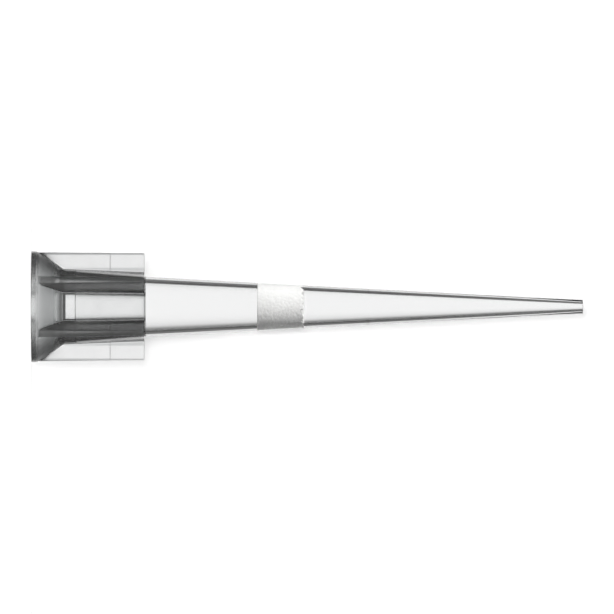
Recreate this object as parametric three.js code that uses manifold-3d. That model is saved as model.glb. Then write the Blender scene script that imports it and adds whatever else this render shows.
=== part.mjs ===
// A filter pipette tip: one clear moulded polypropylene body with a porous filter plug pressed into it.
//
// Units are millimetres. The axis of the tip is +Z. The origin is the centre of the rim face at the wide
// mouth, which the tip can stand on. The orifice is at the top. The first rib lies along +X.

import * as THREE from 'three';
import { mergeVertices } from 'three/addons/utils/BufferGeometryUtils.js';
import Module from 'manifold-3d';

// ---- Driving dimensions -------------------------------------------------------------------------

// Whole tip
const TIP_LENGTH = 38.6; // rim face to orifice
const COLLAR_LENGTH = 7.9; // rim face to the end of the ribs and the hub
const ROUND_SEGMENTS = 60; // facets round every turned surface, a multiple of the rib count

// Rim, at the mouth end of the collar
const RIM_RADIUS = 3.9;
const RIM_FACE_WIDTH = 0.47; // flat ring that the tip stands on
const LIP_LENGTH = 0.34;
const LIP_DRAFT = 0.03; // the lip is this much smaller at its back edge
const SHOULDER_LENGTH = 0.14; // chamfer behind the lip
const SHOULDER_DROP = 0.06;
const BAND_LENGTH = 0.03; // plain band between the chamfer and the outside of the funnel

// Socket: lead-in funnel, sealing land and taper, which a pipette's nozzle is pushed into
const LAND_RADIUS = 2.12;
const LAND_START = 2.1;
const LAND_LENGTH = 0.95;
const THROAT_ROUND = 0.9; // radius of the curve that leads the funnel into the land
const THROAT_STEPS = 6;
const LAND_STEP = 0.07; // the bore narrows by this much behind the land
const LAND_STEP_LENGTH = 0.05;

// Hub, the tube that carries the ribs
const HUB_WALL = 0.52; // at the land
const HUB_LEDGE = 0.3; // how far the hub's end face stands out from the cone
const FUNNEL_BACK = 2.2; // where the outside of the funnel meets the hub
const PARTING_HEIGHT = 5.5; // mould parting line round the ribs and the hub
const PARTING_STEP = 0.02;

// Ribs
const RIB_COUNT = 6;
const RIB_SETBACK = 0.005; // from the band's radius to a rib's edge beside it
const RIB_DRAFT = 0.07; // a rib's edge is this much nearer the axis at its far end
const RIB_EDGE_THICKNESS = 0.62; // at the rim end
const RIB_ROOT_THICKNESS = 0.8; // at the rim end
const RIB_THINNING = 0.2; // a rib is this much thinner at its far end

// Cone, from the end of the collar to the orifice
const BORE_RADIUS = 1.7; // bore at the end of the collar
const CONE_WALL = 0.41; // wall at the end of the collar
const ORIFICE_RADIUS = 0.233;
const NOSE_LENGTH = 6.9; // last stretch, where the wall no longer gets thinner
const NOSE_WALL = 0.26;

// Filter plug
const FILTER_START = 15.8;
const FILTER_LENGTH = 3.3;
const FILTER_CLEARANCE = 0.03; // stands in for the squeeze of the plug against the bore

// ---- Sizes worked out from them -----------------------------------------------------------------

const MOUTH_RADIUS = RIM_RADIUS - RIM_FACE_WIDTH;
const LIP_BACK_RADIUS = RIM_RADIUS - LIP_DRAFT;
const BAND_RADIUS = LIP_BACK_RADIUS - SHOULDER_DROP;
const SHOULDER_END = LIP_LENGTH + SHOULDER_LENGTH;
const BAND_END = SHOULDER_END + BAND_LENGTH;
const LAND_END = LAND_START + LAND_LENGTH;
const HUB_RADIUS = LAND_RADIUS + HUB_WALL;
const CONE_RADIUS = BORE_RADIUS + CONE_WALL;
const HUB_END_RADIUS = CONE_RADIUS + HUB_LEDGE;
const NOSE_START = TIP_LENGTH - NOSE_LENGTH;
const RIB_START = LIP_LENGTH + SHOULDER_LENGTH / 2; // inside the rim
const OVERRUN = 1; // how far a cutting solid runs past the ends of what it cuts

// ---- Helpers ------------------------------------------------------------------------------------

const wasm = await Module();
wasm.setup();

// Value at height z on the straight line from (z0, a) to (z1, b).
function between(z, z0, a, z1, b) {
  return a + ((b - a) * (z - z0)) / (z1 - z0);
}

// Turns a profile of [radius, height] pairs about Z. On the outside of the solid the heights increase.
function turned(profile) {
  const points = profile.map(([radius, height]) => new THREE.Vector2(radius, height));
  const geometry = new THREE.LatheGeometry(points, ROUND_SEGMENTS);
  geometry.rotateX(Math.PI / 2);
  return geometry;
}

function toSolid(geometry) {
  const bare = geometry.clone();
  bare.deleteAttribute('normal');
  bare.deleteAttribute('uv');
  const merged = mergeVertices(bare);
  const mesh = new wasm.Mesh({
    numProp: 3,
    vertProperties: new Float32Array(merged.attributes.position.array),
    triVerts: new Uint32Array(merged.index.array),
  });
  return new wasm.Manifold(mesh);
}

function toGeometry(solid) {
  const mesh = solid.getMesh();
  const geometry = new THREE.BufferGeometry();
  geometry.setAttribute('position', new THREE.BufferAttribute(new Float32Array(mesh.vertProperties), 3));
  geometry.setIndex(new THREE.BufferAttribute(new Uint32Array(mesh.triVerts), 1));
  geometry.computeVertexNormals();
  return geometry;
}

// ---- Body ---------------------------------------------------------------------------------------

// Radius of the bore of the cone at height z.
function boreRadius(z) {
  return between(z, COLLAR_LENGTH, BORE_RADIUS, TIP_LENGTH, ORIFICE_RADIUS);
}

// Outside of the tip without its ribs, as a filled solid.
function outsideProfile() {
  const partingRadius = between(PARTING_HEIGHT, FUNNEL_BACK, HUB_RADIUS, COLLAR_LENGTH, HUB_END_RADIUS);
  return [
    [0, 0],
    [RIM_RADIUS, 0],
    [LIP_BACK_RADIUS, LIP_LENGTH],
    [BAND_RADIUS, SHOULDER_END],
    [BAND_RADIUS, BAND_END],
    [HUB_RADIUS, FUNNEL_BACK],
    [partingRadius, PARTING_HEIGHT],
    [partingRadius - PARTING_STEP, PARTING_HEIGHT],
    [HUB_END_RADIUS, COLLAR_LENGTH],
    [CONE_RADIUS, COLLAR_LENGTH],
    [boreRadius(NOSE_START) + NOSE_WALL, NOSE_START],
    [ORIFICE_RADIUS + NOSE_WALL, TIP_LENGTH],
    [0, TIP_LENGTH],
  ];
}

// The curve from the funnel into the land: an arc that the funnel's side and the land are tangent to.
function throatCurve() {
  const centreRadius = LAND_RADIUS + THROAT_ROUND;
  const outward = MOUTH_RADIUS - centreRadius;
  const slope = Math.atan2(outward, LAND_START) + Math.asin(THROAT_ROUND / Math.hypot(outward, LAND_START));
  const points = [];
  for (let i = 0; i <= THROAT_STEPS; i += 1) {
    const angle = slope * (1 - i / THROAT_STEPS);
    const radius = centreRadius - THROAT_ROUND * Math.cos(angle);
    const height = LAND_START - THROAT_ROUND * Math.sin(angle);
    points.push([radius, height]);
  }
  return points;
}

// Everything that is hollow, from the mouth to the orifice, running past both ends.
function hollowProfile() {
  return [
    [0, -OVERRUN],
    [MOUTH_RADIUS, -OVERRUN],
    [MOUTH_RADIUS, 0],
    ...throatCurve(),
    [LAND_RADIUS, LAND_END],
    [LAND_RADIUS - LAND_STEP, LAND_END + LAND_STEP_LENGTH],
    [BORE_RADIUS, COLLAR_LENGTH],
    [ORIFICE_RADIUS, TIP_LENGTH],
    [ORIFICE_RADIUS, TIP_LENGTH + OVERRUN],
    [0, TIP_LENGTH + OVERRUN],
  ];
}

// Radii and half thicknesses of the rib along +X at height z. Its root lies in the middle of the hub's wall.
function ribSection(z) {
  const thinner = between(z, RIB_START, 0, COLLAR_LENGTH, RIB_THINNING);
  const rootAtLand = LAND_RADIUS + HUB_WALL / 2;
  const rootAtEnd = (BORE_RADIUS + HUB_END_RADIUS) / 2;
  return {
    rootRadius: between(z, LAND_END, rootAtLand, COLLAR_LENGTH, rootAtEnd),
    rootHalf: (RIB_ROOT_THICKNESS - thinner) / 2,
    edgeRadius: BAND_RADIUS - RIB_SETBACK - between(z, RIB_START, 0, COLLAR_LENGTH, RIB_DRAFT),
    edgeHalf: (RIB_EDGE_THICKNESS - thinner) / 2,
  };
}

// One stretch of that rib, from height z0 to z1: a box whose corners follow the draft of the mould.
// step is how far its edge lies inside the section.
function ribStretch(z0, z1, step) {
  const box = new THREE.BoxGeometry(1, 1, 1);
  const corners = box.attributes.position;
  for (let i = 0; i < corners.count; i += 1) {
    const z = corners.getZ(i) > 0 ? z1 : z0;
    const section = ribSection(z);
    const side = Math.sign(corners.getY(i));
    if (corners.getX(i) > 0) {
      corners.setXYZ(i, section.edgeRadius - step, side * section.edgeHalf, z);
    } else {
      corners.setXYZ(i, section.rootRadius, side * section.rootHalf, z);
    }
  }
  return box;
}

function ribs() {
  const lower = toSolid(ribStretch(RIB_START, PARTING_HEIGHT, 0));
  const upper = toSolid(ribStretch(PARTING_HEIGHT, COLLAR_LENGTH, PARTING_STEP));
  const rib = lower.add(upper);
  let all = rib;
  for (let i = 1; i < RIB_COUNT; i += 1) {
    all = all.add(rib.rotate([0, 0, (360 * i) / RIB_COUNT]));
  }
  return all;
}

function tipBody() {
  const filled = toSolid(turned(outsideProfile())).add(ribs());
  return toGeometry(filled.subtract(toSolid(turned(hollowProfile()))));
}

// ---- Filter plug --------------------------------------------------------------------------------

// A tapered plug that follows the bore.
function filterPlug() {
  const end = FILTER_START + FILTER_LENGTH;
  return turned([
    [0, FILTER_START],
    [boreRadius(FILTER_START) - FILTER_CLEARANCE, FILTER_START],
    [boreRadius(end) - FILTER_CLEARANCE, end],
    [0, end],
  ]);
}

// ---- The part -----------------------------------------------------------------------------------

const clearPlastic = new THREE.MeshStandardMaterial({
  color: 0xf2f4f4,
  roughness: 0.12,
  metalness: 0,
  transparent: true,
  opacity: 0.35,
});

const porousPlastic = new THREE.MeshStandardMaterial({ color: 0xf4f4f2, roughness: 0.95, metalness: 0 });

const part = new THREE.Group();

const body = new THREE.Mesh(tipBody(), clearPlastic);
body.name = 'tip_body';
part.add(body);

const filter = new THREE.Mesh(filterPlug(), porousPlastic);
filter.name = 'filter_plug';
part.add(filter);

export default part;
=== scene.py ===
"""Filter pipette tip: a clear moulded body with a white porous plug pressed into its bore.

The tip stands on its mouth. Its axis is +Z, the mouth is at the floor and the orifice at the top,
and the first rib lies along +X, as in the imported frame.
"""

import math

import bpy
import numpy as np
from mathutils import Matrix, Vector


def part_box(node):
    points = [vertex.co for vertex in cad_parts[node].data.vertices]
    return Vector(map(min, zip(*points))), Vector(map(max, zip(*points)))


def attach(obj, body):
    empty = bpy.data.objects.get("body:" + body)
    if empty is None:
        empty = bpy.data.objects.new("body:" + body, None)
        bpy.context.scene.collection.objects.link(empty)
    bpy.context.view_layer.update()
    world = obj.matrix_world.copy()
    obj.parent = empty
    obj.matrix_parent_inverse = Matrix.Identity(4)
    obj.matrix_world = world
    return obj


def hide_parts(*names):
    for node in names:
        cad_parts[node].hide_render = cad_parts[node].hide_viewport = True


bl_info = {
    "name": "Filter pipette tip",
    "version": (1, 0, 0),
    "blender": (4, 5, 0),
    "location": "View3D > Sidebar > Pipette Tip",
    "description": "Builds a clear ribbed pipette tip with a porous filter plug",
    "category": "Object",
}

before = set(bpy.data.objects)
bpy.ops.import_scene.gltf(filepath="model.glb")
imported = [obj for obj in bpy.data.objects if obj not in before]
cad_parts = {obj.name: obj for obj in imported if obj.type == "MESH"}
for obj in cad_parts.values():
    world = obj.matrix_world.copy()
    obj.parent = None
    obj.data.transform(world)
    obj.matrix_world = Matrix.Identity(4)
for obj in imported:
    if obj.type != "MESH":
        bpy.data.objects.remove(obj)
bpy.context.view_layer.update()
_, BODY_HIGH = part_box("tip_body")
PLUG_LOW, PLUG_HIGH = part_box("filter_plug")
MM = 0.001
DEGREES = 180 / math.pi  # in a radian


# ---- Properties ---------------------------------------------------------------------------------


def length(name, description, millimetres):
    """A size in metres, given in millimetres."""
    return bpy.props.FloatProperty(
        name=name, description=description, default=millimetres * MM,
        min=0.0, precision=5, subtype="DISTANCE", unit="LENGTH",
    )


def share(name, description, default):
    """A number from 0 to 1."""
    return bpy.props.FloatProperty(
        name=name, description=description, default=default,
        min=0.0, max=1.0, precision=3, subtype="FACTOR",
    )


def tint(name, description, default):
    """A colour, linear."""
    return bpy.props.FloatVectorProperty(
        name=name, description=description, default=default,
        min=0.0, max=1.0, size=3, subtype="COLOR",
    )


def power(name, description, watts):
    """The power of a lamp."""
    return bpy.props.FloatProperty(
        name=name, description=description, default=watts, min=0.0, unit="POWER",
    )


class PipetteTipRim(bpy.types.PropertyGroup):
    """Sizes of the rim, the socket and the hub."""

    rim_radius: length("Rim radius", "Outside radius of the rim", BODY_HIGH.x / MM)
    rim_face: length("Rim face", "Width of the flat ring that the tip stands on", 0.47)
    lip_length: length("Lip", "Height of the lip at the rim", 0.34)
    lip_draft: length("Lip draft", "How much smaller the lip is at its back edge", 0.03)
    shoulder_length: length("Shoulder", "Height of the chamfer behind the lip", 0.14)
    shoulder_drop: length("Shoulder drop", "How far the chamfer comes in", 0.06)
    band_length: length("Band", "Height of the plain band behind the chamfer", 0.03)
    land_radius: length("Land radius", "Radius of the sealing land in the socket", 2.12)
    land_start: length("Land start", "Height at which the land starts", 2.1)
    land_length: length("Land length", "Height of the land", 0.95)
    land_step: length("Land step", "How far the bore comes in behind the land", 0.07)
    throat_round: length("Throat round", "Radius of the curve from funnel to land", 0.9)
    hub_radius: length("Hub radius", "Outside radius of the hub at the funnel", 2.64)
    hub_end_radius: length("Hub end radius", "Outside radius of the hub at its far end", 2.41)
    funnel_back: length("Funnel back", "Height at which the funnel's outside meets the hub", 2.2)
    collar_length: length("Collar", "Height of the hub and its ribs", 7.9)
    parting_height: length("Parting line", "Height of the mould's parting line", 5.5)
    parting_step: length("Parting step", "How far the surface steps in there", 0.012)


class PipetteTipRibs(bpy.types.PropertyGroup):
    """Sizes of the ribs."""

    count: bpy.props.IntProperty(
        name="Ribs", description="Number of ribs round the hub", default=6, min=3, max=12,
    )
    setback: length("Setback", "From the band's radius to a rib's edge beside it", 0.005)
    draft: length("Draft", "How much nearer the axis a rib's edge is at its far end", 0.07)
    edge: length("Edge thickness", "Thickness of a rib at its edge, at the rim end", 0.62)
    thinning: length("Thinning", "How much thinner a rib is at its far end", 0.2)
    side_run: length("Side run", "How much a rib's side leans out towards its root", 0.08)
    corner: length("Corner round", "Radius of the corners of a rib's edge", 0.06)
    fillet: length("Root fillet", "Radius of the fillet along a rib's root", 0.006)


class PipetteTipCone(bpy.types.PropertyGroup):
    """Sizes of the cone and its bore."""

    length_all: length("Length", "From the rim face to the orifice", BODY_HIGH.z / MM)
    bore_radius: length("Bore radius", "Radius of the bore at the end of the collar", 1.7)
    wall: length("Wall", "Wall of the cone at the end of the collar", 0.41)
    orifice_radius: length("Orifice radius", "Radius of the bore at its open end", 0.233)
    nose_length: length("Nose", "Last stretch, where the wall stays as thin", 6.9)
    nose_wall: length("Nose wall", "Wall along the nose", 0.26)
    ring_height: length("Mould ring", "Height of the faint mould ring round the cone", 23.56)
    ring_step: length("Ring step", "How far the surface steps in at the mould ring", 0.008)
    edge_round: length("Edge round", "Radius of the edges of the rim and the orifice", 0.03)


class PipetteTipFilter(bpy.types.PropertyGroup):
    """Sizes of the filter plug."""

    start: length("Start", "Height of the plug's straight face", PLUG_LOW.z / MM)
    end: length("End", "Height that the plug's rough face reaches at most", PLUG_HIGH.z / MM)
    grain: length("Grain", "Width of one grain", 0.13)
    relief: length("Relief", "Depth between the grains", 0.018)
    roughness_of_end: length("Rough end", "Depth of the broken edge at the far face", 0.3)
    squeeze: length("Squeeze", "How far the grains press into the wall of the bore", 0.055)
    seed: bpy.props.IntProperty(name="Seed", description="Picks the pattern of grains", default=4)


class PipetteTipLook(bpy.types.PropertyGroup):
    """Colours and finishes."""

    plastic: tint("Clear plastic", "Colour of the clear plastic", (0.996, 0.998, 0.998))
    haze: tint("Haze", "Colour of the clear plastic where it is cloudy", (0.80, 0.81, 0.81))
    # A darker colour for the plastic in the funnel and on its outside, and at the ribs' edges and
    # roots
    darker_tint: tint(
        "Darker_tint", "Colour of the clear plastic in the funnel and at the ribs' edges and roots",
        (0.70, 0.71, 0.71),
    )
    polish: share("Polish", "Roughness of the plastic where it is clear", 0.02)
    porous: tint("Porous plastic", "Colour of the filter plug", (0.93, 0.93, 0.92))
    # Painted shade: the colour of the pores between the grains, darker than the grains
    hollow_and_shade: tint("Pores", "Colour down between the grains", (0.80, 0.80, 0.80))


class PipetteTipStage(bpy.types.PropertyGroup):
    """The camera, the lamps and the white surroundings."""

    lens: bpy.props.FloatProperty(
        name="Lens", description="Focal length of the camera", default=1250.0,
        min=1.0, unit="CAMERA",
    )
    width: length("Width of view", "Width of what the camera takes in", 42.98)
    key_power: power("Key power", "Power of the lamp that lights all but the backdrop", 3.18)
    front_power: power("Front power", "Power of the lamp that lights the backdrop", 3.2)


# ---- Node helpers -------------------------------------------------------------------------------


class Value:
    """A number's socket in a node tree. Python's operators on it add Math nodes."""

    def __init__(self, build, socket):
        self.build = build
        self.socket = socket

    def math(self, operation, *others):
        return self.build.math(operation, self, *others)

    def __add__(self, other):
        return self.math("ADD", other)

    def __radd__(self, other):
        return self.build.math("ADD", other, self)

    def __sub__(self, other):
        return self.math("SUBTRACT", other)

    def __rsub__(self, other):
        return self.build.math("SUBTRACT", other, self)

    def __mul__(self, other):
        return self.math("MULTIPLY", other)

    def __rmul__(self, other):
        return self.build.math("MULTIPLY", other, self)

    def __truediv__(self, other):
        return self.math("DIVIDE", other)

    def __rtruediv__(self, other):
        return self.build.math("DIVIDE", other, self)

    def __neg__(self):
        return self.math("MULTIPLY", -1.0)

    def __gt__(self, other):
        return self.math("GREATER_THAN", other)

    def __mod__(self, other):
        return self.math("FLOORED_MODULO", other)

    def __abs__(self):
        return self.math("ABSOLUTE")


class Build:
    """Adds nodes to one tree."""

    def __init__(self, tree):
        self.tree = tree

    def node(self, kind, settings=None, values=None):
        """A node of that kind. Settings are set first, then the values or links of its sockets."""
        made = self.tree.nodes.new(kind)
        for name, value in (settings or {}).items():
            if name == "stops":
                self.set_stops(made.color_ramp, value)
            else:
                setattr(made, name, value)
        for place, value in (values or {}).items():
            self.feed(made.inputs[place], value)
        return made

    def set_stops(self, ramp, stops):
        while len(ramp.elements) < len(stops):
            ramp.elements.new(1.0)
        for element, (place, level) in zip(ramp.elements, stops):
            element.position = place
            element.color = grey(level)

    def feed(self, socket, value):
        if isinstance(value, Value):
            value = value.socket
        if isinstance(value, bpy.types.NodeSocket):
            self.tree.links.new(value, socket)
        elif isinstance(value, bpy.types.Node):
            self.tree.links.new(value.outputs[0], socket)
        else:
            socket.default_value = value

    def out(self, made, name=0):
        """A node's output as a number."""
        return Value(self, made.outputs[name])

    def math(self, operation, *terms):
        return self.out(
            self.node("ShaderNodeMath", {"operation": operation}, dict(enumerate(terms)))
        )

    def vector(self, operation, first, second):
        """A vector worked out from two vectors."""
        return self.node("ShaderNodeVectorMath", {"operation": operation}, {0: first, 1: second})

    def combined(self, x, y, z):
        """A vector made of three numbers."""
        return self.node("ShaderNodeCombineXYZ", None, {"X": x, "Y": y, "Z": z})

    def parts(self, vector):
        """The three numbers that a vector is made of."""
        split = self.node("ShaderNodeSeparateXYZ", None, {"Vector": vector})
        return [self.out(split, axis) for axis in "XYZ"]

    def clamped(self, value, low, high, easing="LINEAR"):
        """Runs from 0 at low to 1 at high."""
        made = self.node(
            "ShaderNodeMapRange", {"interpolation_type": easing, "clamp": True},
            {"Value": value, "From Min": low, "From Max": high},
        )
        return self.out(made, "Result")

    def smooth(self, value, low, high):
        """The same, easing in and out."""
        return self.clamped(value, low, high, "SMOOTHSTEP")

    def within(self, value, start, full, fading, end):
        """0 up to start, 1 from full to fading, and 0 from end on."""
        return self.smooth(value, start, full) * (1.0 - self.smooth(value, fading, end))

    def blend(self, factor, first, second):
        """A number between two numbers."""
        made = self.node(
            "ShaderNodeMix", {"data_type": "FLOAT"},
            {"Factor": factor, "A": first, "B": second},
        )
        return self.out(made, "Result")

    def shade(self, factor, first, second):
        """A colour between two colours."""
        made = self.node("ShaderNodeMix", {"data_type": "RGBA"})
        self.feed(made.inputs["Factor"], factor)
        colours = [socket for socket in made.inputs if socket.type == "RGBA"]
        self.feed(colours[0], first)
        self.feed(colours[1], second)
        return next(socket for socket in made.outputs if socket.type == "RGBA")

    def ramp(self, value, stops):
        """A number read off a line through stops of (value, level), with levels up to 1."""
        low, high = stops[0][0], stops[-1][0]
        placed = [((x - low) / (high - low), level) for x, level in stops]
        made = self.node(
            "ShaderNodeValToRGB", {"stops": placed},
            {"Fac": self.clamped(value, low, high)},
        )
        return self.out(made, "Color")

    def noise(self, vector, scale, detail, roughness=0.5):
        made = self.node(
            "ShaderNodeTexNoise", None,
            {"Vector": vector, "Scale": scale, "Detail": detail, "Roughness": roughness},
        )
        return self.out(made, "Fac")

    def from_grain(self, vector, scale):
        """How far a place is from the middle of its grain, where grains are 1 / scale apart."""
        made = self.node(
            "ShaderNodeTexVoronoi", {"feature": "F1"},
            {"Vector": vector, "Scale": scale, "Randomness": 1.0},
        )
        return self.out(made, "Distance")


def colour(rgb):
    return (rgb[0], rgb[1], rgb[2], 1.0)


def grey(level):
    return (level, level, level, 1.0)


def new_material(name):
    """A new material and the builder of its emptied tree."""
    material = bpy.data.materials.new(name)
    material.use_nodes = True
    material.node_tree.nodes.clear()
    return material, Build(material.node_tree)


def new_tree(name, sizes):
    """A geometry tree with an input for each of the named sizes.

    It comes with its builder, the geometry that enters it and the sizes as values.
    """
    tree = bpy.data.node_groups.new(name, "GeometryNodeTree")
    tree.interface.new_socket("Geometry", in_out="INPUT", socket_type="NodeSocketGeometry")
    for size, default in sizes.items():
        kind = "NodeSocketInt" if isinstance(default, int) else "NodeSocketFloat"
        tree.interface.new_socket(size, in_out="INPUT", socket_type=kind)
    tree.interface.new_socket("Geometry", in_out="OUTPUT", socket_type="NodeSocketGeometry")
    build = Build(tree)
    entry = build.node("NodeGroupInput")
    inputs = {size: build.out(entry, size) for size in sizes}
    return tree, build, entry.outputs["Geometry"], inputs


def end_tree(build, geometry, material):
    """Ends a geometry tree with Realize Instances and Set Material."""
    real = build.node("GeometryNodeRealizeInstances", None, {"Geometry": geometry})
    done = build.node(
        "GeometryNodeSetMaterial", None, {"Geometry": real, "Material": material}
    )
    build.node("NodeGroupOutput", None, {"Geometry": done})


def grown(name, base, tree, sizes):
    """An object with the plain mesh that the tree makes of the base mesh."""
    piece = bpy.data.objects.new(name, base)
    bpy.context.scene.collection.objects.link(piece)
    modifier = piece.modifiers.new("grow", "NODES")
    modifier.node_group = tree
    for item in tree.interface.items_tree:
        if item.in_out == "INPUT" and item.name in sizes:
            modifier[item.identifier] = sizes[item.name]
    depsgraph = bpy.context.evaluated_depsgraph_get()
    mesh = bpy.data.meshes.new_from_object(piece.evaluated_get(depsgraph))
    piece.modifiers.remove(modifier)
    piece.data = mesh
    bpy.data.meshes.remove(base)
    mesh.name = name
    if not mesh.polygons:
        raise RuntimeError(f"{name} came out empty")
    return piece


# ---- Outline of the body ------------------------------------------------------------------------

CRISP = 0.02 * MM  # round of an edge that looks sharp
FUNNEL_BEND = 0.12 * MM  # round where the outside of the funnel meets the hub
CONE_FILLET = 0.06 * MM  # round where the cone leaves the hub's end face
TAPER_BEND = 0.3 * MM  # round where a taper changes
LAND_STEP_LENGTH = 0.05 * MM  # height over which the bore comes in behind the land
RING_LENGTH = 1.0 * MM  # height over which the cone comes back out behind the mould ring
ROUND_PIECES = 4  # stretches that a corner's round is made of
THROAT_PIECES = 12  # stretches that the throat's curve is made of
LEAD, LEAD_MARGIN = 1.5, 0.03 * MM  # from a corner to the point past its round
SAME_POINT = 0.001 * MM  # points nearer than this are one


class Outline:
    """The half section of the body as a closed row of levels, each a point with its rib sizes."""

    NAMES = ("level_radius", "level_height", "rib_radius", "rib_half", "even")

    def __init__(self):
        self.levels = []

    def add(self, radius, height, rib_radius=0.0, rib_half=0.0, even=1.0):
        """even is 1 where the columns are spread evenly and 0 where they draw the ribs."""
        self.levels.append((radius, height, rib_radius, rib_half, even))

    def mesh(self, name):
        """The row as a closed loop of edges that carries the levels as attributes."""
        count = len(self.levels)
        mesh = bpy.data.meshes.new(name)
        points = [(level[0], 0.0, level[1]) for level in self.levels]
        edges = [(i, (i + 1) % count) for i in range(count)]
        mesh.from_pydata(points, edges, [])
        for place, attribute in enumerate(self.NAMES):
            layer = mesh.attributes.new(attribute, "FLOAT", "POINT")
            values = np.array([level[place] for level in self.levels], np.float32)
            layer.data.foreach_set("value", values)
        return mesh


def between(z, z0, a, z1, b):
    """The value at z on the straight line from a at z0 to b at z1."""
    return a + (b - a) * (z - z0) / (z1 - z0)


def steps(first, last, count):
    """Values from first to last, in that many equal steps."""
    return [first + (last - first) * i / count for i in range(count + 1)]


def reach(start, end, distance):
    """The point that far from start towards end, and at most halfway."""
    run = math.dist(start, end)
    part = min(distance / run, 0.5)
    return tuple(s + (e - s) * part for s, e in zip(start, end))


def softened(corners):
    """A closed outline through corners of (radius, height, round, pieces).

    Each corner gets its round, with a point a little past the round on either side that keeps
    the stretch beside it straight. pieces is how many parts the stretch after the corner is
    divided into. Each point comes with the number of its corner.
    """
    points = []

    def add(point, number):
        if not points or math.dist(point, points[-1][:2]) > SAME_POINT:
            points.append((*point, number))

    def lead(size):
        return size * LEAD + LEAD_MARGIN

    for number, (radius, height, size, pieces) in enumerate(corners):
        following = corners[(number + 1) % len(corners)]
        corner, before, after = (radius, height), corners[number - 1][:2], following[:2]
        leave = corner
        if size > 0:
            start, end = reach(corner, before, size), reach(corner, after, size)
            add(reach(corner, before, lead(size)), number)
            for t in steps(0.0, 1.0, ROUND_PIECES):
                add(tuple(
                    (1 - t) ** 2 * s + 2 * t * (1 - t) * c + t * t * e
                    for s, c, e in zip(start, corner, end)
                ), number)
            leave = reach(corner, after, lead(size))
        add(leave, number)
        arrive = reach(after, corner, lead(following[2]))
        for t in steps(0.0, 1.0, pieces)[1:-1]:
            add(tuple(s + (e - s) * t for s, e in zip(leave, arrive)), number)
    return points


def throat_points(rim):
    """The curve that leads the funnel into the land, from the land's side."""
    mouth = rim.rim_radius - rim.rim_face
    centre = rim.land_radius + rim.throat_round
    outward = mouth - centre
    slope = math.atan2(outward, rim.land_start)
    slope += math.asin(rim.throat_round / math.hypot(outward, rim.land_start))
    points = []
    for angle in steps(0.0, slope, THROAT_PIECES):
        radius = centre - rim.throat_round * math.cos(angle)
        height = rim.land_start - rim.throat_round * math.sin(angle)
        points.append((radius, height))
    return points


def body_outline(rim, ribs, cone):
    """Levels of the body, up the outside and down the inside."""
    edge = cone.edge_round
    mouth = rim.rim_radius - rim.rim_face
    lip_back = rim.rim_radius - rim.lip_draft
    band = lip_back - rim.shoulder_drop
    shoulder_end = rim.lip_length + rim.shoulder_length
    band_end = shoulder_end + rim.band_length
    rib_start = rim.lip_length + rim.shoulder_length / 2
    rib_foot = rim.lip_length * 0.9  # inside the lip
    plain_hub = rim.funnel_back + MM  # above the bend between the funnel and the hub
    top, end = rim.collar_length, cone.length_all
    land_end = rim.land_start + rim.land_length
    cone_radius = cone.bore_radius + cone.wall
    nose_start = end - cone.nose_length
    nose_bore = between(nose_start, top, cone.bore_radius, end, cone.orifice_radius)
    nose_radius = nose_bore + cone.nose_wall
    tip_radius = cone.orifice_radius + cone.nose_wall
    parting, ring = rim.parting_height, cone.ring_height

    def hub_at(height):
        return between(height, rim.funnel_back, rim.hub_radius, top, rim.hub_end_radius)

    def cone_at(height):
        return between(height, top, cone_radius, nose_start, nose_radius)

    outside = [
        (rim.rim_radius, 0.0, edge, 5),
        (lip_back, rim.lip_length, CRISP, 1),
        (band, shoulder_end, CRISP, 1),
        (band, band_end, CRISP, 18),
        (rim.hub_radius, rim.funnel_back, FUNNEL_BEND, 8),
        (hub_at(parting), parting - 2 * CRISP, CRISP, 1),
        (hub_at(parting) - rim.parting_step, parting + 2 * CRISP, CRISP, 6),
        (rim.hub_end_radius, top, edge, 1),
        (cone_radius, top, CONE_FILLET, 14),
        (cone_at(ring), ring - CRISP, CRISP / 2, 1),
        (cone_at(ring) - cone.ring_step, ring + CRISP, CRISP / 2, 2),
        (cone_at(ring + RING_LENGTH), ring + RING_LENGTH, CRISP, 6),
        (nose_radius, nose_start, TAPER_BEND, 6),
        (tip_radius, end, edge, 1),
    ]
    *throat, throat_end = throat_points(rim)
    inside = [
        (cone.orifice_radius, end, edge, 22),
        (cone.bore_radius, top, TAPER_BEND, 6),
        (rim.land_radius - rim.land_step, land_end + LAND_STEP_LENGTH, CRISP / 2, 1),
        (rim.land_radius, land_end, CRISP, 4),
        *((*point, 0.0, 1) for point in throat),
        (*throat_end, 0.0, 8),
        (mouth, 0.0, edge, 2),
    ]

    outline = Outline()
    for radius, height, corner in softened(outside + inside):
        ribbed = radius > (rim.hub_end_radius + cone_radius) / 2 and height <= top
        if corner >= len(outside) or not ribbed:
            outline.add(radius, height)
            continue
        # Behind the parting line the ribs step in as far as the hub does
        inset = hub_at(height) - radius if height > plain_hub else 0.0
        thickness = ribs.edge - between(height, rib_start, 0.0, top, ribs.thinning)
        rib_radius = 0.0
        if height > rib_foot:
            rib_radius = band - ribs.setback - between(height, rib_start, 0.0, top, ribs.draft)
            rib_radius -= inset
        outline.add(radius, height, rib_radius, thickness / 2 - inset, 0.0)
    return outline


# ---- Clear body ---------------------------------------------------------------------------------

# The columns of half a rib, counted from its middle: where its edge, corner, side and fillet end.
# The rest lie on the hub, up to the middle between two ribs.
EDGE_END, CORNER_END, SIDE_END, FILLET_END = 3.0, 7.0, 11.0, 15.0
HALF_SECTOR_COLUMNS = 25
EDGE_LAST = 0.08  # share of half the edge in its last column, beside the corner
SIDE_FIRST = 0.03  # share of the side in its first column, and in its last
FULL_ROUNDS = 1.3  # a rib this many times as high as its two rounds has them in full
SHARP_CREASE = math.radians(38.0)


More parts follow.
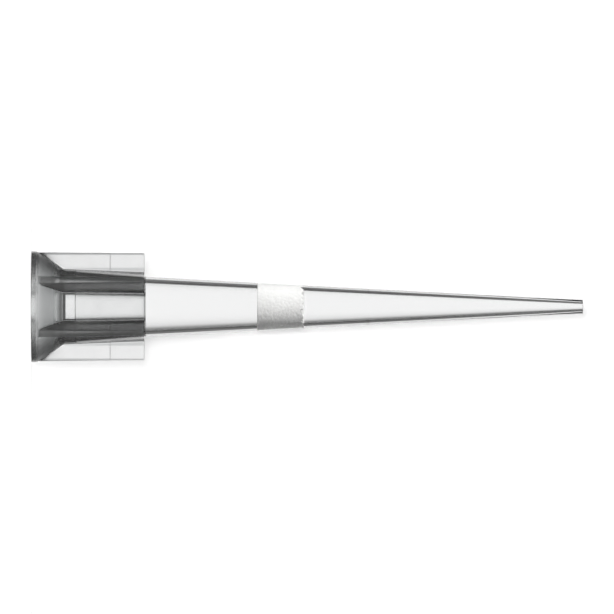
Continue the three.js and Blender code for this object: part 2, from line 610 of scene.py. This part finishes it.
def body_tree(sizes, material):
    """Turns the half section about Z and draws each level out into ribs."""
    tree, build, section, size = new_tree("turned_ribbed_body", sizes)
    columns = size["Rib Columns"]
    # A circle of any radius will do, since each point is placed below
    circle = build.node(
        "GeometryNodeCurvePrimitiveCircle", None,
        {"Resolution": columns * 2 * size["Ribs"], "Radius": 0.01},
    )
    path = build.node(
        "GeometryNodeStoreNamedAttribute", {"data_type": "FLOAT", "domain": "POINT"},
        {"Geometry": circle, "Name": "column", "Value": build.node("GeometryNodeInputIndex")},
    )
    profile = build.node("GeometryNodeMeshToCurve", None, {"Mesh": section})
    shell = build.node(
        "GeometryNodeCurveToMesh", None, {"Curve": path, "Profile Curve": profile}
    )

    def named(attribute):
        node = build.node(
            "GeometryNodeInputNamedAttribute", {"data_type": "FLOAT"}, {"Name": attribute}
        )
        return build.out(node, "Attribute")

    # Which rib the column belongs to, and how far from its middle it is
    column = named("column")
    rib = build.math("FLOOR", (column + columns) / (columns * 2))
    offset = column - rib * columns * 2
    away = abs(offset)
    side = build.math("SIGN", offset)

    # How far along each part of half a rib the column is: a share, or an angle round a corner
    edge_part = build.clamped(away, 0.0, EDGE_END - 1.0) * (1.0 - EDGE_LAST)
    edge_part = edge_part + build.clamped(away, EDGE_END - 1.0, EDGE_END) * EDGE_LAST
    corner_part = build.clamped(away, EDGE_END, CORNER_END) * (math.pi / 2)
    side_first = build.clamped(away, CORNER_END, CORNER_END + 1.0)
    side_middle = build.clamped(away, CORNER_END + 1.0, SIDE_END - 1.0)
    side_last = build.clamped(away, SIDE_END - 1.0, SIDE_END)
    side_part = side_middle * (1.0 - 2 * SIDE_FIRST) + (side_first + side_last) * SIDE_FIRST
    fillet_part = build.clamped(away, SIDE_END, FILLET_END) * (math.pi / 2)
    hub_part = build.clamped(away, FILLET_END, columns)

    # The column's radius at each level, and how far to the side of the rib's middle it is
    base = named("level_radius")
    rib_radius = named("rib_radius")
    height = build.math("MAXIMUM", rib_radius - base, 0.0)
    corner, fillet = size["Corner"], size["Fillet"]
    rounding = build.clamped(height, 0.0, (corner + fillet) * FULL_ROUNDS)
    drop = rounding * corner * (1.0 - build.math("COSINE", corner_part))
    drop = drop + side_part * (height - rounding * (corner + fillet))
    drop = drop + rounding * fillet * build.math("SINE", fillet_part)
    radius = build.math("MAXIMUM", rib_radius, base) - drop
    across = edge_part * (named("rib_half") - corner)
    across = across + corner * build.math("SINE", corner_part)
    across = across + side_part * size["Side Run"]
    across = across + fillet * (1.0 - build.math("COSINE", fillet_part))

    half_sector = math.pi / size["Ribs"]
    ribbed = build.math("ARCSINE", build.math("MINIMUM", across / radius, 1.0))
    ribbed = ribbed + hub_part * (half_sector - ribbed)
    spread = away / columns * half_sector
    angle = rib * half_sector * 2.0 + side * build.blend(named("even"), ribbed, spread)
    place = build.combined(
        radius * build.math("COSINE", angle),
        radius * build.math("SINE", angle),
        named("level_height"),
    )
    shaped = build.node("GeometryNodeSetPosition", None, {"Geometry": shell, "Position": place})
    shaped = build.node("GeometryNodeFlipFaces", None, {"Mesh": shaped})
    crease = build.out(build.node("GeometryNodeInputMeshEdgeAngle"), "Unsigned Angle")
    soft = build.node(
        "GeometryNodeSetShadeSmooth", {"domain": "EDGE"},
        {"Geometry": shaped, "Selection": crease > SHARP_CREASE, "Shade Smooth": False},
    )
    end_tree(build, soft, material)
    return tree


# Where the finishes of the collar start and end. Heights and radii are in millimetres, and angles
# in degrees.
WALL_MIDDLE = [(0.0, 3.6), (1.5, 2.72), (2.2, 2.4), (7.9, 2.04)]  # (height, radius)
HUB_OUTSIDE = [(0.0, 4.0), (0.5, 3.84), (2.24, 2.66), (7.9, 2.43)]  # (height, radius)
WIDEST = 4.0  # a ramp's levels stop at 1, so radii are divided by this
COLLAR_TOP = (7.8, 7.95)
FUNNEL = (-0.2, 0.6, 1.95, 2.25)
POLISHED_LAND = (1.5, 1.7, 3.0, 3.1)
LIP_BACK = (0.5, 0.55)
HUB_START = (2.0, 2.4)
RIB_EDGE_RADIUS = (3.6, 3.66)
ROOT_RADIUS = (2.7, 2.8)
ROOT_ANGLE, ROOT_FADE = (7.0, 9.0), (8.0, 28.0)  # from the middle of a rib

# How much rougher each surface of the collar is than the cone
ROUGHER = {
    "collar": 0.02, "bore": 0.15, "funnel": 0.12, "outside": 0.28, "rib_edge": 0.4,
    "rib_side": 0.25,
}
CLOUDS = 900.0  # to the metre
STREAKS = (9000.0, 9000.0, 500.0)  # to the metre: drawn out along the axis
PLASTIC_IOR = 1.49
SHADOW_LIGHT = 0.85  # how much light each surface lets through to a shadow


def radius_line(build, height, stops):
    """A radius read off a line through stops of (height, radius)."""
    return WIDEST * build.ramp(height, [(at, radius / WIDEST) for at, radius in stops])


def clear_plastic(look, ribs):
    """Clear polypropylene: polished along the cone, a little cloudy and drawn in the collar."""
    material, build = new_material("clear_polypropylene")
    place = build.node("ShaderNodeTexCoord").outputs["Object"]
    x, y, height = (part / MM for part in build.parts(place))
    radius = build.math("SQRT", x * x + y * y)
    collar = 1.0 - build.smooth(height, *COLLAR_TOP)

    # The bore side of the collar is matt from its mould, most of all in the funnel
    middle = radius_line(build, height, WALL_MIDDLE)
    bore = collar * (1.0 - build.smooth(radius - middle, -0.04, 0.04))
    flare = build.within(height, *FUNNEL)
    funnel = bore * flare
    # The outside of the funnel is matt too, and so are the ribs, most of all at their edges
    slope = radius_line(build, height, HUB_OUTSIDE)
    outside = flare * (1.0 - bore) * (1.0 - build.smooth(radius - slope, 0.02, 0.06))
    on_rib = collar * build.smooth(height, *LIP_BACK) * build.smooth(radius - slope, 0.03, 0.08)
    edges = on_rib * build.smooth(radius, *RIB_EDGE_RADIUS)
    sides = on_rib - edges
    # The plastic's colour is darker in the hub near the roots of the ribs
    sector = 360.0 / ribs
    turn = build.math("ARCTAN2", y, x) * DEGREES
    from_rib = abs((turn + sector / 2) % sector - sector / 2)
    away = 0.5 * build.smooth(from_rib, *ROOT_ANGLE) + 0.5 * build.smooth(from_rib, *ROOT_FADE)
    root = (1.0 - away) * (1.0 - build.smooth(radius, *ROOT_RADIUS))
    root = root * collar * build.smooth(height, *HUB_START)

    cloud = build.noise(place, CLOUDS, 4.0, 0.6)
    streak = build.noise(build.vector("MULTIPLY", place, STREAKS), 1.0, 2.0)
    cloudy = collar * (0.2 + 0.3 * build.smooth(cloud, 0.35, 0.7))
    # Where the plastic's colour is made darker: the funnel and its outside, the ribs' edges and
    # near their roots
    darkened = (funnel + outside) * build.smooth(height, 0.3, 0.6)
    darkened = build.math("MINIMUM", darkened + edges + root, 1.0)
    tinted = build.shade(darkened, colour(look.haze), colour(look.darker_tint))

    worn = 1.0 - 0.8 * build.within(height, *POLISHED_LAND)
    mould = funnel * ROUGHER["funnel"] + outside * ROUGHER["outside"]
    mould = bore * ROUGHER["bore"] + mould * (0.8 + 0.4 * streak)
    roughness = look.polish + collar * ROUGHER["collar"] + mould * worn
    roughness = roughness + edges * ROUGHER["rib_edge"] + sides * ROUGHER["rib_side"]
    bump = build.node(
        "ShaderNodeBump", None,
        {"Strength": 0.03, "Distance": 0.02 * MM, "Height": (streak + cloud * 2.0) * collar},
    )
    shader = build.node(
        "ShaderNodeBsdfPrincipled", None,
        {
            "Base Color": build.shade(
                build.math("MAXIMUM", cloudy, darkened), colour(look.plastic), tinted
            ),
            "Roughness": roughness,
            "IOR": PLASTIC_IOR,
            "Transmission Weight": 1.0,
            "Normal": bump,
        },
    )
    shadow = build.node("ShaderNodeBsdfTransparent", None, {"Color": grey(SHADOW_LIGHT)})
    is_shadow = build.node("ShaderNodeLightPath").outputs["Is Shadow Ray"]
    mixed = build.node("ShaderNodeMixShader", None, {0: is_shadow, 1: shader, 2: shadow})
    build.node("ShaderNodeOutputMaterial", None, {"Surface": mixed})
    return material


class PIPETTETIP_OT_body(bpy.types.Operator):
    """Make the clear body: rim, funnel, ribbed hub and cone in one closed mesh"""

    bl_idname = "pipette_tip.body"
    bl_label = "Clear Body"
    bl_options = {"REGISTER", "UNDO"}

    def execute(self, context):
        scene = context.scene
        ribs = scene.pipette_tip_ribs
        outline = body_outline(scene.pipette_tip_rim, ribs, scene.pipette_tip_cone)
        sizes = {
            "Ribs": ribs.count,
            "Rib Columns": HALF_SECTOR_COLUMNS,
            "Corner": ribs.corner,
            "Fillet": ribs.fillet,
            "Side Run": ribs.side_run,
        }
        material = clear_plastic(scene.pipette_tip_look, ribs.count)
        tree = body_tree(sizes, material)
        body = grown("clear_body", outline.mesh("half_section"), tree, sizes)
        for name in (*Outline.NAMES, "column"):
            layer = body.data.attributes.get(name)
            if layer:
                body.data.attributes.remove(layer)
        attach(body, "root")
        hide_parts("tip_body")
        return {"FINISHED"}


# ---- Filter plug --------------------------------------------------------------------------------

PLUG_SIDES, PLUG_RINGS, PLUG_FACE_RINGS = 150, 56, 22
SEED_SHIFT = (0.01, 0.017)  # how far each seed moves the pattern along X and Y
BREAKS = 4500.0  # broken edges to the metre
FINE_GRAINS = 14000.0  # to the metre
PORES = 2.2  # to the width of a grain


def plug_tree(sizes, material):
    """A tapered plug whose surface is packed grains, with one straight face and one broken one."""
    tree, build, _, size = new_tree("grainy_plug", sizes)
    # A plain cylinder of radius 1 and height 1, whose points are placed below
    blank = build.node(
        "GeometryNodeMeshCylinder", {"fill_type": "TRIANGLE_FAN"},
        {
            "Vertices": PLUG_SIDES, "Side Segments": PLUG_RINGS, "Fill Segments": PLUG_FACE_RINGS,
            "Radius": 1.0, "Depth": 1.0,
        },
    )
    x, y, z = build.parts(build.node("GeometryNodeInputPosition"))
    out = build.math("SQRT", x * x + y * y)
    rise = z + 0.5
    start, end = size["Start"], size["End"]
    height = start + rise * (end - start)
    bore = size["Start Radius"] + rise * (size["End Radius"] - size["Start Radius"])
    plain = build.combined(x * bore, y * bore, height)
    shift = build.combined(size["Seed"] * SEED_SHIFT[0], size["Seed"] * SEED_SHIFT[1], 0.0)
    seeded = build.vector("ADD", plain, shift)
    hollow_and_shade = build.smooth(build.from_grain(seeded, 1.0 / size["Grain"]), 0.25, 0.85)
    coarse = build.noise(seeded, BREAKS, 3.0)

    # The side is let in between the grains, the far face broken away and the near face dimpled
    side = build.smooth(out, 0.97, 1.0)
    far = build.clamped(rise, 0.9, 1.0)
    near = 1.0 - build.clamped(rise, 0.0, 0.03)
    radius = bore - side * hollow_and_shade * size["Relief"] * 1.4
    broken = far * (build.smooth(coarse, 0.3, 0.7) * size["Rough End"] + hollow_and_shade * size["Relief"])
    dimple = near * (1.0 - side * 0.6) * hollow_and_shade * size["Relief"] * 0.5
    moved = build.combined(x * radius, y * radius, height - broken + dimple)
    shaped = build.node("GeometryNodeSetPosition", None, {"Geometry": blank, "Position": moved})
    soft = build.node(
        "GeometryNodeSetShadeSmooth", {"domain": "FACE"}, {"Geometry": shaped}
    )
    end_tree(build, soft, material)
    return tree


def porous_plastic(look, grain):
    """Sintered white polyethylene: matt grains, with shade painted into the pores between them as
    a darker colour.
    """
    material, build = new_material("porous_polyethylene")
    place = build.node("ShaderNodeTexCoord").outputs["Object"]
    pores = build.smooth(build.from_grain(place, PORES / grain), 0.45, 0.9)
    fine = build.noise(place, FINE_GRAINS, 3.0)
    # Painted shade darkens the pores between the grains; the fine noise adds a speckle that varies
    # at random
    dark = pores * 0.7 + 0.5 * build.smooth(fine, 0.5, 0.75)
    bump = build.node(
        "ShaderNodeBump", None,
        {"Strength": 0.18, "Distance": 0.03 * MM, "Height": fine - pores},
    )
    shader = build.node(
        "ShaderNodeBsdfPrincipled", None,
        {
            "Base Color": build.shade(
                build.math("MINIMUM", dark, 1.0), colour(look.porous), colour(look.hollow_and_shade)
            ),
            "Roughness": 0.85 + 0.1 * pores,
            "Diffuse Roughness": 1.0,
            "Specular IOR Level": 0.3,
            "Normal": bump,
        },
    )
    build.node("ShaderNodeOutputMaterial", None, {"Surface": shader})
    return material


class PIPETTETIP_OT_filter(bpy.types.Operator):
    """Make the porous filter plug in the bore"""

    bl_idname = "pipette_tip.filter"
    bl_label = "Filter Plug"
    bl_options = {"REGISTER", "UNDO"}

    def execute(self, context):
        scene = context.scene
        cone, rim, plug = scene.pipette_tip_cone, scene.pipette_tip_rim, scene.pipette_tip_filter

        def pressed(height):
            """Radius of the plug at that height, pressed into the wall of the bore."""
            bore = between(
                height, rim.collar_length, cone.bore_radius, cone.length_all, cone.orifice_radius
            )
            return bore + plug.squeeze

        sizes = {
            "Start": plug.start,
            "End": plug.end,
            "Start Radius": pressed(plug.start),
            "End Radius": pressed(plug.end),
            "Grain": plug.grain,
            "Relief": plug.relief,
            "Rough End": plug.roughness_of_end,
            "Seed": plug.seed,
        }
        material = porous_plastic(scene.pipette_tip_look, plug.grain)
        tree = plug_tree(sizes, material)
        blank = bpy.data.meshes.new("blank")
        piece = grown("filter_grains", blank, tree, sizes)
        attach(piece, "root")
        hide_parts("filter_plug")
        return {"FINISHED"}


# ---- Stage --------------------------------------------------------------------------------------

SENSOR_WIDTH = 36.0  # millimetres, as the lens
CLIP = (0.01, 10.0)
AIM_HEIGHT = 19.285 * MM  # the camera and the key lamp aim at this height on the axis
CAMERA_ASIDE = 0.02 * MM  # how far beside the axis the camera looks
# Each lamp's place, what it aims at and its width, in metres
KEY_LAMP = ((-0.267, -0.343, 0.3), (0.0, 0.0, AIM_HEIGHT), 0.12)
FRONT_LAMP = ((-0.059, -0.6, -0.012), (0.0, 0.0, 0.012), 0.117)
BACKDROP_GAP = 0.05 * MM  # from the rim to the backdrop
BACKDROP_HALF_WIDTH, BACKDROP_HEIGHT = 0.04, 0.08
FLOOR_RADIUS, FLOOR_SIDES = 0.3, 64
CLEAR_BOUNCES, OTHER_BOUNCES = 32, 24


def studio_world():
    """White to the camera. What plastic and lit surfaces meet depends on where the ray goes."""
    world = bpy.data.worlds.new("studio")
    bpy.context.scene.world = world
    world.use_nodes = True
    world.cycles.sampling_method = "NONE"
    world.node_tree.nodes.clear()
    build = Build(world.node_tree)
    # The ray's way in degrees: turn runs from +Y, which the camera looks along, towards +X
    x, y, z = build.parts(build.node("ShaderNodeTexCoord").outputs["Generated"])
    turn = build.math("ARCTAN2", x, y) * DEGREES
    rise = build.math("ARCSINE", z) * DEGREES
    path = build.node("ShaderNodeLightPath")
    camera = build.out(path, "Is Camera Ray")
    diffuse = build.out(path, "Diffuse Depth") > 0.5
    inside = build.out(path, "Transmission Depth") > 0.5
    bounced = build.out(path, "Glossy Depth") > 0.5

    # Through the plastic: four white walls with dark corners between them, a dark card from the
    # wall behind the tip towards +X, a grey band above, and dark below the wall behind the tip
    from_wall = (turn + 45.0) % 90.0 - 45.0
    walls = build.ramp(abs(from_wall), [(0.0, 1.0), (29.0, 1.0), (33.0, 0.08), (45.0, 0.06)])
    card = build.ramp(turn, [
        (-60.0, 1.0), (3.0, 1.0), (7.0, 0.93), (10.0, 0.85), (13.0, 0.75), (18.0, 0.46),
        (23.0, 0.24), (29.0, 0.1), (60.0, 0.08), (62.0, 1.0), (70.0, 1.0),
    ])
    above = build.ramp(rise, [
        (-10.0, 1.0), (30.0, 1.0), (42.0, 0.5), (55.0, 1.0), (90.0, 1.0),
    ])
    ahead = 1.0 - build.smooth(abs(turn), 26.0, 34.0)
    below = build.smooth(-rise, 5.5, 9.0)
    through = build.blend(below, card * walls * above, 0.9 - 0.82 * ahead)
    # After a reflection inside the plastic: dark, but for the wall behind the tip
    behind = build.ramp(abs(turn), [(0.0, 1.0), (19.0, 1.0), (25.0, 0.08), (60.0, 0.06)])
    level_way = 1.0 - build.smooth(abs(rise), 3.0, 5.5)
    reflected = 0.035 + 0.9 * behind * level_way + 0.1 * build.smooth(rise, 15.0, 30.0)
    clear = build.blend(bounced, through, reflected)
    # Gloss on the outside: white behind the tip and on the camera's half, dark between them
    gloss = build.ramp(abs(turn), [
        (0.0, 1.0), (24.0, 1.0), (32.0, 0.15), (80.0, 0.15), (95.0, 1.0), (180.0, 1.0),
    ])
    gloss = build.blend(below, gloss, 0.2)
    # Light on the plug and the paper: dim, less from +X, more from +Y, and strong between the two
    plain = 0.12 - 0.11 * build.smooth(x, -0.1, 0.5) + 0.15 * build.smooth(y, 0.1, 0.9)
    plain = plain + 8.0 * build.smooth(x + y, 1.12, 1.4)

    level = build.blend(inside, gloss, clear)
    level = build.blend(diffuse, level, plain)
    level = build.blend(camera, level, 1.0)
    background = build.node(
        "ShaderNodeBackground", None, {"Color": grey(1.0), "Strength": level}
    )
    build.node("ShaderNodeOutputWorld", None, {"Surface": background})


def paper(name, lit, plain, front_only):
    """White paper that keeps shadows: lit is how much of it comes from lamps, plain the rest.

    With front_only it shows only to the camera, and only from its front.
    """
    material, build = new_material(name)
    diffuse = build.node("ShaderNodeBsdfDiffuse", None, {"Color": grey(lit)})
    glow = build.node("ShaderNodeEmission", None, {"Strength": plain})
    both = build.node("ShaderNodeAddShader", None, {0: diffuse, 1: glow})
    if front_only:
        camera = build.out(build.node("ShaderNodeLightPath"), "Is Camera Ray")
        facing = 1.0 - build.out(build.node("ShaderNodeNewGeometry"), "Backfacing")
        clear = build.node("ShaderNodeBsdfTransparent")
        both = build.node(
            "ShaderNodeMixShader", None, {0: camera * facing, 1: clear, 2: both}
        )
    build.node("ShaderNodeOutputMaterial", None, {"Surface": both})
    return material


def sheet(name, corners, material):
    """A flat sheet through those corners."""
    mesh = bpy.data.meshes.new(name)
    mesh.from_pydata(corners, [], [tuple(range(len(corners)))])
    mesh.materials.append(material)
    thing = bpy.data.objects.new(name, mesh)
    bpy.context.scene.collection.objects.link(thing)
    return thing


def hide_from(thing, *rays):
    """Those kinds of ray don't meet the thing."""
    for ray in rays:
        setattr(thing, f"visible_{ray}", False)


def link_light(lamp, thing, state):
    """With INCLUDE the lamp lights only that thing, and with EXCLUDE all but that thing."""
    receivers = bpy.data.collections.new(lamp.name + "_lights")
    lamp.light_linking.receiver_collection = receivers
    receivers.objects.link(thing)
    receivers.collection_objects[0].light_linking.link_state = state


def area_lamp(name, place, aim, size, energy):
    """A round lamp that no camera ray, gloss or clear plastic shows."""
    data = bpy.data.lights.new(name, "AREA")
    data.shape = "DISK"
    data.size = size
    data.energy = energy
    lamp = bpy.data.objects.new(name, data)
    bpy.context.scene.collection.objects.link(lamp)
    lamp.location = place
    way = [there - here for there, here in zip(aim, place)]
    lamp.rotation_euler = Vector(way).to_track_quat("-Z", "Y").to_euler()
    hide_from(lamp, "camera", "glossy", "transmission")
    return lamp


def side_camera(lens, width):
    """A camera that looks along +Y. The tip lies across its view, with the mouth to the left."""
    data = bpy.data.cameras.new("camera")
    data.lens = lens
    data.sensor_width = SENSOR_WIDTH
    data.clip_start, data.clip_end = CLIP
    camera = bpy.data.objects.new("camera", data)
    bpy.context.scene.collection.objects.link(camera)
    camera.matrix_world = Matrix((
        (0.0, -1.0, 0.0, CAMERA_ASIDE),
        (0.0, 0.0, -1.0, -width * lens / SENSOR_WIDTH),
        (1.0, 0.0, 0.0, AIM_HEIGHT),
        (0.0, 0.0, 0.0, 1.0),
    ))
    return camera


class PIPETTETIP_OT_stage(bpy.types.Operator):
    """Set up the camera, the lamps, the white surroundings and the floor"""

    bl_idname = "pipette_tip.stage"
    bl_label = "Stage"
    bl_options = {"REGISTER", "UNDO"}

    def execute(self, context):
        scene = context.scene
        stage = scene.pipette_tip_stage
        scene.camera = side_camera(stage.lens, stage.width)
        studio_world()
        key = area_lamp("key", *KEY_LAMP, stage.key_power)
        front = area_lamp("front", *FRONT_LAMP, stage.front_power)

        back = BODY_HIGH.y + BACKDROP_GAP
        wall = sheet("backdrop", [
            (-BACKDROP_HALF_WIDTH, back, 0.0), (BACKDROP_HALF_WIDTH, back, 0.0),
            (BACKDROP_HALF_WIDTH, back, BACKDROP_HEIGHT),
            (-BACKDROP_HALF_WIDTH, back, BACKDROP_HEIGHT),
        ], paper("white_backdrop", lit=0.8, plain=0.08, front_only=True))
        hide_from(wall, "shadow", "diffuse", "glossy", "transmission")
        floor = sheet("floor", [
            (FLOOR_RADIUS * math.cos(a), FLOOR_RADIUS * math.sin(a), 0.0)
            for a in steps(0.0, 2 * math.pi, FLOOR_SIDES)[:-1]
        ], paper("white_floor", lit=0.5, plain=0.56, front_only=False))
        hide_from(floor, "shadow", "glossy", "transmission")
        link_light(front, wall, "INCLUDE")
        link_light(key, wall, "EXCLUDE")

        scene.view_settings.view_transform = "Standard"
        scene.cycles.max_bounces = CLEAR_BOUNCES
        scene.cycles.transmission_bounces = CLEAR_BOUNCES
        scene.cycles.glossy_bounces = OTHER_BOUNCES
        scene.cycles.transparent_max_bounces = OTHER_BOUNCES
        return {"FINISHED"}


# ---- Add-on -------------------------------------------------------------------------------------


class VIEW3D_PT_pipette_tip(bpy.types.Panel):
    """Sizes, colours and steps of the pipette tip"""

    bl_label = "Pipette Tip"
    bl_idname = "VIEW3D_PT_pipette_tip"
    bl_space_type = "VIEW_3D"
    bl_region_type = "UI"
    bl_category = "Pipette Tip"

    def draw(self, context):
        layout = self.layout
        for step in STEPS:
            layout.operator(step.bl_idname)
        for key, kind in GROUPS.items():
            group = getattr(context.scene, key)
            box = layout.box()
            box.label(text=kind.__name__.replace("PipetteTip", ""))
            for name in kind.__annotations__:
                box.prop(group, name)


GROUPS = {
    "pipette_tip_rim": PipetteTipRim,
    "pipette_tip_ribs": PipetteTipRibs,
    "pipette_tip_cone": PipetteTipCone,
    "pipette_tip_filter": PipetteTipFilter,
    "pipette_tip_look": PipetteTipLook,
    "pipette_tip_stage": PipetteTipStage,
}
STEPS = (PIPETTETIP_OT_stage, PIPETTETIP_OT_body, PIPETTETIP_OT_filter)


def register():
    for key, group in GROUPS.items():
        bpy.utils.register_class(group)
        setattr(bpy.types.Scene, key, bpy.props.PointerProperty(type=group))
    for step in STEPS:
        bpy.utils.register_class(step)
    bpy.utils.register_class(VIEW3D_PT_pipette_tip)


def unregister():
    bpy.utils.unregister_class(VIEW3D_PT_pipette_tip)
    for step in reversed(STEPS):
        bpy.utils.unregister_class(step)
    for key, group in GROUPS.items():
        delattr(bpy.types.Scene, key)
        bpy.utils.unregister_class(group)


def main():
    register()
    bpy.ops.pipette_tip.stage()
    bpy.ops.pipette_tip.body()
    bpy.ops.pipette_tip.filter()


if __name__ == "__main__":
    main()
